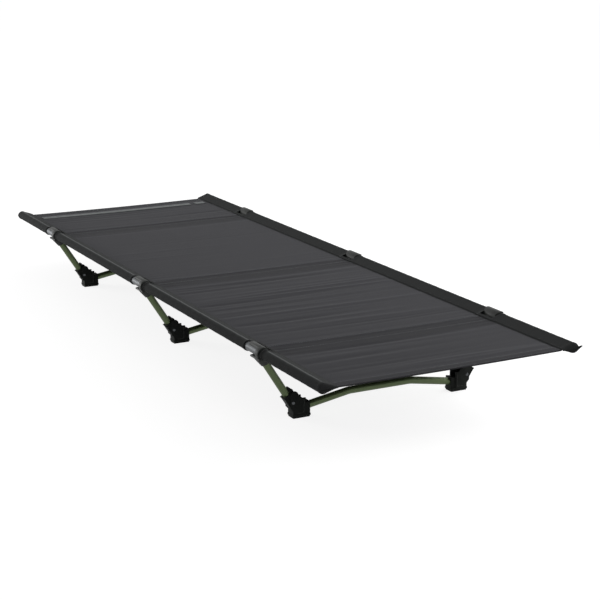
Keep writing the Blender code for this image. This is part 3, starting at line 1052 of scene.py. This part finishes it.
@dataclass
class Sleeve:
    """The cloth tube round a side pole, hemmed at each window and pinched shut at its ends."""

    plan: Plan
    finishes: Finishes
    stitches: StitchRows
    side: Side
    wall: float = 0.0010
    clearance: float = 0.0004
    width: float = 0.0318
    seam_half: float = 0.0010
    lining_tip: float = 0.3
    outer_face: float = 0.0003
    cell: float = 0.006
    round_cells: int = 37
    flank_cells: int = 6
    sharp: float = radians(65)
    # Hems at the windows, doubled, with a turned edge.
    hem: float = 0.008
    hem_step: float = 0.001
    hem_rise: float = 0.0006
    turn: float = 0.0008
    turn_fall: float = 0.7
    mouth_reach: float = 0.015
    mouth_rim: float = 0.002
    # Slow waves in how far the cloth stands out: each one's height, radians in a metre, and phase.
    waves: tuple[tuple[float, float, float], ...] = ((0.00012, 211, 0.0), (0.0001, 83, 1.3))
    # The ends, pressed flat beyond the pole.
    end_slack: float = 1e-6
    pinch: float = 0.005
    pinch_left: float = 0.08
    pinch_shares: tuple[float, ...] = (0.15, 0.3, 0.45, 0.6, 0.75, 0.87, 0.95, 1.0)
    end_droop: float = 0.002
    end_pull: float = 0.97
    end_shrink: float = 0.5
    # The crest: a low fold along the top of the tube, with a painted highlight along it.
    ridge: float = 0.0005
    crest_angle: float = radians(97)
    crest_width: float = radians(11)
    crest_fade: float = 0.030
    # The doubled edge: for each line across it, its distance from the inboard one and its height.
    tape_reach: float = 0.0018
    tape_across: tuple[float, ...] = (0.0, 0.0012, 0.0024, 0.0036, 0.0048)
    tape_crown: tuple[float, ...] = (-0.0008, -0.0004, 0.0001, 0.0006, 0.0010)
    tape_cells: int = 320
    tape_thick: float = 0.0009
    # Ripples along it, each one's height and radians in a metre.
    tape_waves: tuple[tuple[float, float], ...] = ((0.0001, 160), (0.00008, 71))
    tape_light: float = 1.1
    tape_crown_light: float = 0.7
    # The folded strips left between the windows and the deck.
    strip_start: float = 0.0235
    strip_rise: float = 0.0024
    strip_reach: float = 0.0012
    strip_lap: float = 0.006
    strip_cells: tuple[int, int] = (14, 7)
    strip_round: float = 4
    strip_lip: float = 0.15
    trim_light: float = 0.9
    # Loose ends of tape at the corners: length, half height, drop below the pole's axis, and tilt.
    tail_long: tuple[float, float, float, float] = (0.0165, 0.0050, 0.003, 0.5)
    tail_short: tuple[float, float, float, float] = (0.006, 0.0016, 0.001, 0.2)
    tail_root: tuple[float, float] = (0.002, 0.003)
    tail_heading: tuple[float, float] = (0.3, 0.8)
    tail_steps: int = 5
    tail_taper: float = 0.8
    tail_thick: float = 0.0008
    tail_thinning: float = 0.4
    tail_curl: float = 0.0012
    # Rows of sewing.
    row_inset: float = 0.0035
    row_end: float = 0.004
    row_cell: float = 0.02
    row_rise: float = 0.0002
    hem_row: float = 0.002
    hem_row_angles: tuple[int, int, int] = (75, 290, 12)

    def __post_init__(self) -> None:
        """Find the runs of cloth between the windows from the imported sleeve's own vertices."""
        self.low, self.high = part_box(f"sleeve_{self.side.value}")
        self.radius = self.plan.pole_radius + self.clearance + self.wall
        self.lean = acos(self.radius / self.width)
        self.look = SLEEVE_SIDES[self.side]
        outboard = max(abs(self.low.y), abs(self.high.y)) - self.outer_face
        spots = vertices(f"sleeve_{self.side.value}")
        xs = sorted({round(float(x), 5) for x, y, _ in spots if abs(y) > outboard})
        starts = [xs[0]] + [x - self.look.tail_tuck for x in xs[2::2]]
        ends = [x + self.look.head_tuck for x in xs[1:-1:2]] + [xs[-1]]
        self.runs = list(zip(starts, ends))

    def across(self, inboard: np.ndarray | float) -> np.ndarray | float:
        """The Y of places that are so far inboard of the pole's axis."""
        return self.side.sign * (self.plan.pole_y - inboard)

    def cut(self, part: str, sheets: Iterable[Sheet], sharp: float = SHARP) -> Object:
        """Make one part of the sleeve out of its cloth."""
        name = f"sleeve_{part}_{self.side.value}"
        return cloth_object(name, sheets, self.finishes[Cover.SLEEVE], sharp)

    def outline(self, radius: float, tip: float) -> np.ndarray:
        """The sleeve's outline round the pole, from the top of its sewn edge to the bottom.

        Args:
            radius: how far it stands off the pole's axis.
            tip: half the height of the sewn edge.

        Returns:
            For each point, how far it is inboard of the pole's axis, and above it.
        """
        lean = acos(radius / self.width)
        share = np.arange(self.flank_cells)[:, None] / self.flank_cells
        touch = radius * np.array([cos(lean), sin(lean)])
        flank = np.array([self.width, tip]) * (1 - share) + touch * share
        angle = np.linspace(lean, 2 * pi - lean, self.round_cells + 1)
        bend = radius * np.stack([np.cos(angle), np.sin(angle)], axis=-1)
        return np.concatenate([flank, bend, flank[::-1] * (1, -1)])

    def stations(self, start: float, end: float) -> list[float]:
        """Space the rings of one run of cloth, closer together at its hems and its pinched ends.

        Args:
            start: where the run starts.
            end: where it ends.

        Returns:
            The rings' places along the cot, in order.
        """
        marks = [start, start + self.turn, end - self.turn, end]
        for place in (start + self.hem, end - self.hem):
            marks += [place - self.hem_step, place + self.hem_step]
        inner = np.arange(start + self.hem + self.cell, end - self.hem - self.cell / 2, self.cell)
        if abs(start - self.low.x) < SAME:
            marks += [start - self.pinch * share for share in self.pinch_shares]
        if abs(end - self.high.x) < SAME:
            marks += [end + self.pinch * share for share in self.pinch_shares]
        return sorted({*marks, *inner.tolist()})

    def swell(self, x: float, start: float, end: float) -> float:
        """How much the cloth stands out: hems are doubled, with a turned edge.

        Args:
            x: the place along the cot.
            start: where its run starts.
            end: where its run ends.

        Returns:
            How far it stands off its plain radius.
        """
        edge = min(x - start, end - x)
        rise = self.hem_rise if edge < self.hem else 0.0
        if edge < self.turn / 2:
            rise -= self.hem_rise * self.turn_fall
        return rise + sum(height * sin(x * turns + phase) for height, turns, phase in self.waves)

    def tint(self, x: float, start: float, end: float, glow: np.ndarray) -> np.ndarray:
        """How light the cloth is round one ring, with its painted light, shade and highlights.

        Args:
            x: the ring's place along the cot.
            start: where its run starts.
            end: where its run ends.
            glow: how near each point is to the crest, from 0 to 1.

        Returns:
            The tint of each point.
        """
        look = self.look
        first, last = abs(start - self.low.x) < SAME, abs(end - self.high.x) < SAME
        crest = min(1.0, max(0.0, (self.high.x - x) / self.crest_fade))
        # Painted highlight along the crest, over a painted light level for the whole side.
        tint = (1 + look.crest_painted_highlight * glow * crest) * look.cloth_painted_light
        # Painted shade on the pinched end beyond the pole.
        if x - self.high.x > self.end_slack:
            tint = tint * (1 - look.end_painted_shade)
        # Painted highlight on the hem edge at the windows.
        if look.hem_painted_highlight and not last and end - x < self.hem_step:
            tint = tint + look.hem_painted_highlight
        # Painted shade in the sleeve's mouths at the windows.
        if look.mouth_painted_shade and not first and x - start < self.mouth_reach:
            dark = look.mouth_painted_shade * sqrt(1 - (x - start) / self.mouth_reach)
            tint = np.full_like(glow, 1 - dark)
        if look.mouth_painted_shade and not last and end - x < self.mouth_rim:
            tint = np.full_like(glow, 1 - look.mouth_painted_shade)
        return tint

    def ring(self, x: float, start: float, end: float) -> Sheet:
        """One ring of a run of sleeve.

        Args:
            x: its place along the cot.
            start: where the run starts.
            end: where the run ends.

        Returns:
            Its outer and inner vertices, flat coordinates and tints.
        """
        past = max(self.low.x - x, x - self.high.x)
        beyond = past > self.end_slack
        still_open = sqrt(max(0.0, 1 - (past / self.pinch) ** 2))
        squeeze = self.pinch_left + (1 - self.pinch_left) * still_open if beyond else 1.0
        rise = 0.0 if beyond else self.swell(x, start, end)
        shape = self.outline(self.radius + rise, self.seam_half + rise / 2)
        lining = self.outline(self.radius - self.wall, self.seam_half * self.lining_tip)
        steps = np.hypot(*np.diff(shape, axis=0).T)
        flat = np.stack([np.full(len(shape), x), np.concatenate([[0.0], np.cumsum(steps)])], axis=-1)
        glow = bell(np.arctan2(shape[:, 1], -shape[:, 0]) - self.crest_angle, self.crest_width)
        if beyond:
            lining = lining * (self.end_pull, self.end_shrink)
        else:
            shape = shape * (1 + self.ridge * glow / np.hypot(*shape.T))[:, None]
        level = self.plan.pole_z - self.end_droop * (1 - squeeze)
        outer, inner = (
            np.stack([flat[:, 0], self.across(part[:, 0]), level + part[:, 1] * squeeze], axis=-1)
            for part in (shape, lining)
        )
        return outer, inner, flat, self.tint(x, start, end, glow)

    def cloth(self) -> Object:
        """Make the whole sleeve, a closed sheet for each run between windows.

        Returns:
            The sleeve.
        """
        sheets = []
        for run in self.runs:
            rings = [self.ring(x, *run) for x in self.stations(*run)]
            sheets.append(tuple(np.array(part) for part in zip(*rings)))
        return self.cut("cloth", sheets, self.sharp)

    def edge_tape(self) -> Object:
        """Make the doubled edge of the cloth, sewn to the deck, which runs on past the windows.

        Returns:
            The edge.
        """
        inward = np.array(self.tape_across)
        xs = np.linspace(self.low.x, self.high.x, self.tape_cells)
        y_in, x = np.meshgrid(self.width + self.tape_reach - inward, xs)
        level = self.plan.pole_z + np.array(self.tape_crown)
        ripple = sum(height * np.sin(x * turns) for height, turns in self.tape_waves)
        tint = self.tape_light + self.tape_crown_light * (1 - inward / inward[-1])
        sheet = flat_sheet(x, self.across(y_in), level + ripple, level - self.tape_thick, tint)
        return self.cut("edge", [sheet])

    def window_strips(self) -> Object:
        """Make the folded cloth that is left between each window and the deck.

        Returns:
            The strips.
        """
        along, inward = self.strip_cells
        share = np.linspace(0, 1, inward)
        inboard = self.strip_start + (self.width + self.strip_reach - self.strip_start) * share
        lip = np.sqrt(1 - (1 - np.minimum(1, share * self.strip_round)) ** 2) + self.strip_lip
        height = (self.seam_half + (1 - share) * self.strip_rise) * np.minimum(1, lip)
        sheets = []
        for (_, start), (end, _) in zip(self.runs, self.runs[1:]):
            xs = np.linspace(start - self.strip_lap, end + self.strip_lap, along)
            y_in, x = np.meshgrid(inboard, xs)
            top, under = self.plan.pole_z + height, self.plan.pole_z - height
            sheets.append(flat_sheet(x, self.across(y_in), top, under, self.trim_light))
        return self.cut("strips", sheets)

    def corner_tails(self) -> Object:
        """Make the short loose ends of the edge tape that stick out at the corners.

        Returns:
            The loose ends.
        """
        share = np.linspace(0, 1, self.tail_steps)[:, None, None]
        sheets = []
        for end, way in ((self.low.x - self.pinch, -1), (self.high.x + self.pinch, 1)):
            long = way > 0 and self.side is Side.FAR
            length, tall, drop, tilt = self.tail_long if long else self.tail_short
            back, out = self.tail_root
            root = np.array([end - way * back, self.across(-out), self.plan.pole_z - drop])
            along, outward = self.tail_heading
            heading = Vector((way * along, self.side.sign * outward, tilt)).normalized()
            up = heading.cross(Vector((0, 0, 1))).normalized()
            half = tall * (1 - self.tail_taper * share) * np.array([[-1.0], [1.0]])
            line = root + np.array(heading) * length * share + np.array(up) * self.tail_curl * share**2
            spread = line + np.array(up.cross(heading)) * half
            lift = np.array(up) * self.tail_thick * (1 - self.tail_thinning * share)
            flat = np.concatenate([share * length + 0 * half, half], axis=-1)
            tint = np.full(half.shape[:2], self.trim_light)
            sheets.append((spread + lift, spread - lift, flat, tint))
        return self.cut("tails", sheets)

    def seams(self) -> Object:
        """Sew the long edge and each window's hem.

        Returns:
            The stitches.
        """
        level, radius = self.plan.pole_z, self.radius
        slope = (radius * sin(self.lean) - self.seam_half) / (self.width - radius * cos(self.lean))
        z = level + self.seam_half + slope * self.row_inset + self.row_rise
        y = self.across(self.width - self.row_inset)
        angles = [radians(a) for a in range(*self.hem_row_angles)]
        stand = radius + self.hem_rise + self.row_rise
        lines = []
        for start, end in self.runs:
            count = max(2, round((end - start) / self.row_cell))
            xs = np.linspace(start + self.row_end, end - self.row_end, count)
            lines.append([(x, y, z) for x in xs])
            for x, inward in ((start, 1), (end, -1)):
                if min(abs(x - self.low.x), abs(x - self.high.x)) > SAME:
                    place = x + inward * (self.hem - self.hem_row)
                    hoop = [(place, self.across(stand * cos(a)), level + stand * sin(a)) for a in angles]
                    lines.append(hoop)
        name = f"sleeve_seams_{self.side.value}"
        return self.stitches.sew(name, lines, self.finishes[Cover.DARK_THREAD])

    def build(self) -> None:
        """Make the sleeve, its edge and its sewing, and let them ride with the side."""
        cloth = self.cloth()
        trims = [self.edge_tape(), self.window_strips(), self.corner_tails(), self.seams()]
        hand_over(cloth, self.side.body, f"sleeve_{self.side.value}")
        for piece in trims:
            hand_over(piece, self.side.body)


@dataclass
class Tubes:
    """The side poles, struts and bows, as smooth drawn tubes."""

    plan: Plan
    finishes: Finishes
    run: TubeRun
    skin: float = 0.0003
    side_slack: float = 0.00005
    bow_rounds: int = 3

    def dress(self, node: str, path: Line, radius: float, body: str, cover: Cover) -> None:
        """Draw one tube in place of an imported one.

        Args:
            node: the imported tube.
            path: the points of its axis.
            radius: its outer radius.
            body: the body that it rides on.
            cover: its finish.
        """
        made = self.run.draw(node.replace("_", "_tube_", 1), [path], radius, self.finishes[cover])
        hand_over(made, body, node)

    def poles(self, side: Side) -> None:
        """Draw the three sections of one side pole, each as long as its full-width part.

        Args:
            side: which pole.
        """
        y, z, radius = side.sign * self.plan.pole_y, self.plan.pole_z, self.plan.pole_radius
        for number in (1, 2, 3):
            node = f"pole_{side.value}_{number}"
            spots = vertices(node)
            outer = np.hypot(spots[:, 1] - y, spots[:, 2] - z) > radius - self.skin
            xs = spots[outer, 0]
            self.dress(node, [(xs.min(), y, z), (xs.max(), y, z)], radius, side.body, Cover.POLE)

    def struts(self, side: Side) -> None:
        """Draw the struts of one side, each along the line from its pin to the pole.

        Args:
            side: which side.
        """
        rise = Vector((self.plan.pole_y - self.plan.pin_y, self.plan.pole_z - self.plan.pin_z))
        along = rise.normalized()
        for leg in Leg:
            node = f"strut_{leg.value}_{side.value}"
            low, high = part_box(node)
            radius = (high.x - low.x) / 2
            half = ((high.z - low.z) / 2 - radius * abs(along.x)) / along.y
            x, y, z = self.plan.leg_x[leg], (abs(low.y) + abs(high.y)) / 2, (low.z + high.z) / 2
            ends = [(x, side.sign * (y + way * along.x), z + way * along.y) for way in (-half, half)]
            self.dress(node, ends, radius, side.body, Cover.LEG)

    def bow(self, leg: Leg) -> None:
        """Draw the low bent tube of a leg set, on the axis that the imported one's side vertices show.

        Args:
            leg: which leg set.
        """
        node, x = f"bow_{leg.value}", self.plan.leg_x[leg]
        spots = vertices(node)
        aside = spots[:, 0] - x
        sides = spots[aside > aside.max() - self.side_slack]
        axis = {round(float(y), 4): float(z) for _, y, z in sides}
        path = softened([(x, y, axis[y]) for y in sorted(axis)], self.bow_rounds)
        self.dress(node, path, np.abs(aside).max(), "base", Cover.LEG)

    def build(self) -> None:
        """Draw them all."""
        for side in Side:
            self.poles(side)
        for side in Side:
            self.struts(side)
        for leg in Leg:
            self.bow(leg)


@dataclass
class Fittings:
    """The moulded and turned parts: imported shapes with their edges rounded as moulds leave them."""

    plan: Plan
    finishes: Finishes
    edge: float = 0.0005
    edge_steps: int = 2
    merge: float = 2e-5
    flat_angle: float = radians(1.5)
    edge_angle: float = radians(40)
    # The rib on each foot cheek, from its hinge pin's height and place across.
    flange: float = 0.0008
    rib_radius: float = 0.0007
    rib_inboard: float = 0.0265
    rib_outboard: float = 0.0100
    rib_low: float = 0.0115
    rib_rise: float = 0.0055
    rib_corner: float = 0.0030
    rib_sides: int = 10

    def foot_ribs(self) -> Object:
        """Make the low rib round the lower inboard corner of each foot cheek.

        Returns:
            The ribs.
        """
        line = [(self.rib_inboard, self.plan.pin_z + self.rib_rise)]
        for angle in (0, 30, 60, 90):
            out, up = (self.rib_corner * (1 - turn(radians(angle))) for turn in (cos, sin))
            line.append((self.rib_inboard - out, self.rib_low + up))
        line.append((self.rib_outboard, self.rib_low))
        lines = []
        for leg in Leg:
            for side in Side:
                low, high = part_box(f"foot_block_{leg.value}_{side.value}")
                for x in (low.x + self.flange, high.x - self.flange):
                    lines.append([(x, side.sign * (self.plan.pin_y - y), z) for y, z in line])
        run = TubeRun(sides=self.rib_sides)
        return run.draw("foot_ribs", lines, self.rib_radius, self.finishes[Cover.CLIP])

    def rounded(self, node: str, material: Material) -> Object:
        """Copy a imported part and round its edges.

        Args:
            node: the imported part.
            material: its finish.

        Returns:
            The finished copy.
        """
        mesh = bpy.data.objects[node].data.copy()
        bm = bmesh.new()
        bm.from_mesh(mesh)
        bmesh.ops.remove_doubles(bm, verts=bm.verts, dist=self.merge)
        bmesh.ops.dissolve_limit(
            bm, angle_limit=self.flat_angle, verts=bm.verts, edges=bm.edges, delimit=set()
        )
        bm.to_mesh(mesh)
        bm.free()
        mesh.materials.clear()
        mesh.materials.append(material)
        source = add_object(f"{node}_source", mesh)
        bevel = source.modifiers.new("edges", "BEVEL")
        bevel.width = self.edge
        bevel.segments = self.edge_steps
        bevel.limit_method = "ANGLE"
        bevel.angle_limit = self.edge_angle
        graph = bpy.context.evaluated_depsgraph_get()
        result = bpy.data.meshes.new_from_object(source.evaluated_get(graph))
        bpy.data.objects.remove(source)
        result.shade_smooth()
        result.set_sharp_from_angle(angle=SHARP)
        return add_object(f"{node}_moulded", result)

    def build(self) -> None:
        """Dress every fitting."""
        kinds = (
            ("foot_block", "black_moulding", Cover.MOULDING, False),
            ("lever", "black_moulding", Cover.MOULDING, True),
            ("pole_clip", "black_moulding", Cover.CLIP, True),
            ("foot_pad", "rubber_pad", Cover.RUBBER, False),
        )
        for kind, slot, cover, folds in kinds:
            for leg in Leg:
                for side in Side:
                    node = f"{kind}_{leg.value}_{side.value}"
                    made = self.rounded(node, self.finishes[cover])
                    hand_over(made, side.body if folds else "base", node)
        hand_over(self.foot_ribs(), "base")


def dress_kept_nodes(nodes: Mapping[str, Object], finishes: Finishes) -> None:
    """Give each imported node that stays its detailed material.

    Args:
        nodes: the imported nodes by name.
        finishes: the cot's materials.
    """
    kinds = {"hinge_pin": Cover.STEEL, "pole_cap": Cover.MOULDING, "pole_cord": Cover.ELASTIC}
    for name, node in nodes.items():
        for start, cover in kinds.items():
            if name.startswith(start):
                node.data.materials.clear()
                node.data.materials.append(finishes[cover])
                node.data.shade_smooth()
                node.data.set_sharp_from_angle(angle=KEPT_SHARP)
                LOG.info("%s: kept, in %s", name, cover.value.name)


@dataclass
class Studio:
    """Pale floor, soft lights and the camera."""

    camera_place: Point = (3.5396, -1.7407, 1.1354)
    camera_yaw: float = radians(-62.7785)
    camera_pitch: float = radians(15.0973)
    lens: float = 93.447
    sensor: float = 36
    shift: tuple[float, float] = (0.0350, 0.00862)
    far_clip: float = 80
    floor_colour: str = "#9C9C9C"
    floor_half: float = 30.0
    floor_glow: float = 0.86
    sky_light: float = 0.36
    key_toward: Point = (-0.50, -0.70, -0.50)
    key_strength: float = 0.50
    key_spread: float = radians(40)
    # Panels that face the cot from close by, so that their light falls off: place, watts and size.
    panels: tuple[tuple[str, Point, float, tuple[float, float]], ...] = (
        ("far_panel", (0.3, 1.9, 1.3), 31.0, (2.6, 1.0)),
        ("head_panel", (-2.2, -1.8, 0.4), 30.0, (1.2, 0.6)),
    )

    def camera(self) -> None:
        """Stand the camera where the photograph was taken."""
        yaw, pitch = self.camera_yaw, self.camera_pitch
        ahead = Vector((sin(yaw) * cos(pitch), cos(yaw) * cos(pitch), -sin(pitch)))
        # Yaw turns from +Y towards +X, as a compass bearing does.
        right = Vector((cos(yaw), -sin(yaw), 0))
        data = bpy.data.cameras.new("camera")
        data.lens = self.lens
        data.sensor_width = self.sensor
        data.shift_x, data.shift_y = self.shift
        data.clip_end = self.far_clip
        made = add_object("camera", data)
        turn = Matrix((right, right.cross(ahead), -ahead)).transposed().to_4x4()
        made.matrix_world = Matrix.Translation(self.camera_place) @ turn
        bpy.context.scene.camera = made

    def seen(self, tree: Tree) -> Node:
        """Pick the rays that show the background, whether straight, in gloss or through glass.

        Args:
            tree: the tree that asks.

        Returns:
            A node that gives 1 for them and 0 for the rest.
        """
        path = add_node(tree, "ShaderNodeLightPath").outputs
        rays = {0: path["Is Camera Ray"], 1: path["Is Glossy Ray"]}
        first = add_node(tree, "ShaderNodeMath", rays, operation="MAXIMUM")
        rays = {0: first, 1: path["Is Transmission Ray"]}
        return add_node(tree, "ShaderNodeMath", rays, operation="MAXIMUM")

    def floor(self) -> None:
        """A pale floor that shows white where nothing shades it."""
        half = self.floor_half
        mesh = bpy.data.meshes.new("floor")
        corners = [(-half, -half, 0), (half, -half, 0), (half, half, 0), (-half, half, 0)]
        mesh.from_pydata(corners, [], [(0, 1, 2, 3)])
        # Matt paper, lit by its own glow where it is seen, so that only the shadow shows on it.
        paint = bpy.data.materials.new("floor_paper_matt")
        paint.use_nodes = True
        tree = paint.node_tree
        tree.nodes.clear()
        paper = add_node(tree, "ShaderNodeBsdfDiffuse", {"Color": linear(self.floor_colour)})
        terms = {0: self.seen(tree), 1: self.floor_glow}
        lift = add_node(tree, "ShaderNodeMath", terms, operation="MULTIPLY")
        glow = add_node(tree, "ShaderNodeEmission", {"Color": (1, 1, 1, 1), "Strength": lift})
        both = add_node(tree, "ShaderNodeAddShader", {0: paper, 1: glow})
        add_node(tree, "ShaderNodeOutputMaterial", {"Surface": both})
        mesh.materials.append(paint)
        add_object("floor", mesh)

    def world(self) -> None:
        """A soft even surround, seen as white."""
        world = bpy.data.worlds.new("studio")
        world.use_nodes = True
        bpy.context.scene.world = world
        tree = world.node_tree
        tree.nodes.clear()
        levels = {"Value": self.seen(tree), "To Min": self.sky_light, "To Max": 1.0}
        strength = add_node(tree, "ShaderNodeMapRange", levels)
        sky = add_node(tree, "ShaderNodeBackground", {"Color": (1, 1, 1, 1), "Strength": strength})
        add_node(tree, "ShaderNodeOutputWorld", {"Surface": sky})

    def light(self, name: str, kind: str, toward: Vector, power: float) -> Object:
        """Make a light that shines in one direction.

        Args:
            name: its name.
            kind: Blender's name for its type.
            toward: the direction that its light travels.
            power: its strength, in watts for a panel.

        Returns:
            The light, at the origin.
        """
        data = bpy.data.lights.new(name, kind)
        data.energy = power
        made = add_object(name, data)
        made.rotation_mode = "QUATERNION"
        made.rotation_quaternion = toward.to_track_quat("-Z", "Y")
        return made

    def build(self) -> None:
        """Set up the whole studio."""
        self.camera()
        self.floor()
        self.world()
        key = self.light("key", "SUN", Vector(self.key_toward), self.key_strength)
        key.data.angle = self.key_spread
        for name, place, power, size in self.panels:
            panel = self.light(name, "AREA", -Vector(place), power)
            panel.location = place
            panel.data.shape = "RECTANGLE"
            panel.data.size, panel.data.size_y = size
        bpy.context.scene.view_settings.view_transform = "Standard"
        LOG.info("studio: camera, floor, key and %d panels", len(self.panels))


def main() -> None:
    """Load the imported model, dress it and light it."""
    logging.basicConfig(level=logging.INFO, format="%(name)s: %(message)s")
    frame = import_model()
    Studio().build()
    plan = Plan.read()
    finishes = {cover: cover.value.build() for cover in Cover}
    stitches = StitchRows()
    for side in Side:
        Sleeve(plan, finishes, stitches, side).build()
    deck = Deck(plan, finishes, stitches)
    deck.build()
    HeadStrap(deck, finishes).build()
    Tubes(plan, finishes, TubeRun()).build()
    Fittings(plan, finishes).build()
    dress_kept_nodes(frame["nodes"], finishes)


if __name__ == "__main__":
    main()
